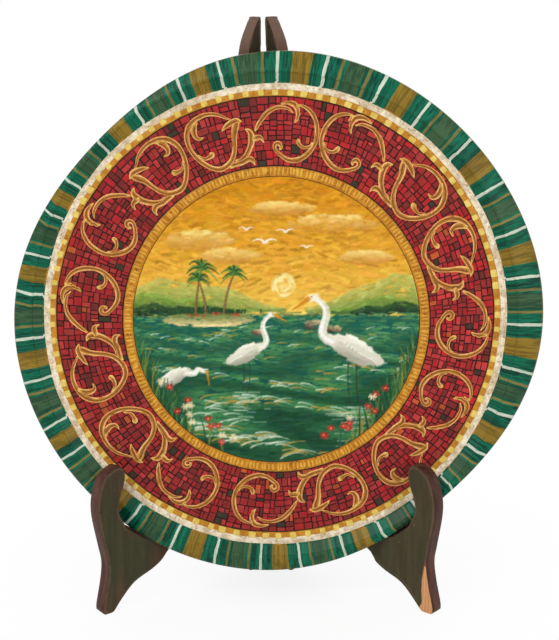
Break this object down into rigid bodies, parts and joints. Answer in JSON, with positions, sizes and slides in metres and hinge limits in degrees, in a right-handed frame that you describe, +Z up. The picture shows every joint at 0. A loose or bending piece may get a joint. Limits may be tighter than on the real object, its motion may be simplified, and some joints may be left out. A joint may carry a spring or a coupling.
{
  "type": "souvenir plate on folding stand",
  "caption": "Painted wooden souvenir plate with a raised rim, standing on edge in a folding stand of two hinged scroll-cut boards.",
  "frame": {"origin": "on the floor, under the middle of the whole object's bounding box", "axes": "+Z up; the plate's painted face looks along -Y; +X to the right of someone who faces the plate"},
  "size_m": [0.4096, 0.1074, 0.451],
  "materials": {
    "plate": "painted and varnished, semi-gloss",
    "left_board": "brown paint worn through to bare wood, satin",
    "right_board": "brown paint worn through to bare wood, satin",
    "upper_left_leaf": "aged, satin",
    "upper_right_leaf": "aged, satin",
    "upper_hinge_pin": "aged, satin",
    "lower_left_leaf": "aged, satin",
    "lower_right_leaf": "aged, satin",
    "lower_hinge_pin": "aged, satin",
    "upper_left_screws": "worn",
    "upper_right_screws": "worn",
    "lower_left_screws": "worn",
    "lower_right_screws": "worn"
  },
  "bodies": {
    "hinge_pins": {"upper_hinge_pin": "upper_hinge_pin", "lower_hinge_pin": "lower_hinge_pin"},
    "left_side": {"left_board": "left_board", "upper_left_leaf": "upper_left_leaf", "lower_left_leaf": "lower_left_leaf", "upper_left_screws": "upper_left_screws", "lower_left_screws": "lower_left_screws"},
    "right_side": {"right_board": "right_board", "upper_right_leaf": "upper_right_leaf", "lower_right_leaf": "lower_right_leaf", "upper_right_screws": "upper_right_screws", "lower_right_screws": "lower_right_screws"},
    "dish": {"plate": "plate"}
  },
  "joints": [
    {"name": "left_fold", "type": "hinge", "parent": "hinge_pins", "child": "left_side", "pos_m": [-0.0094, 0.04411, 0.095], "axis": [0, 0, 1], "range_deg": [0, 51]},
    {"name": "right_fold", "type": "hinge", "parent": "hinge_pins", "child": "right_side", "pos_m": [-0.0094, 0.04411, 0.095], "axis": [0, 0, -1], "range_deg": [0, 51]},
    {"name": "plate_lift", "type": "slide", "parent": "hinge_pins", "child": "dish", "axis": [0, -0.1219, 0.9925], "range_m": [0, 0.29]}
  ],
  "couplings": [
    {"joint": "right_fold", "follows": "left_fold", "ratio": 1},
    {"joint": "plate_lift", "follows": "left_fold", "m_per_rad": 0.32}
  ]
}
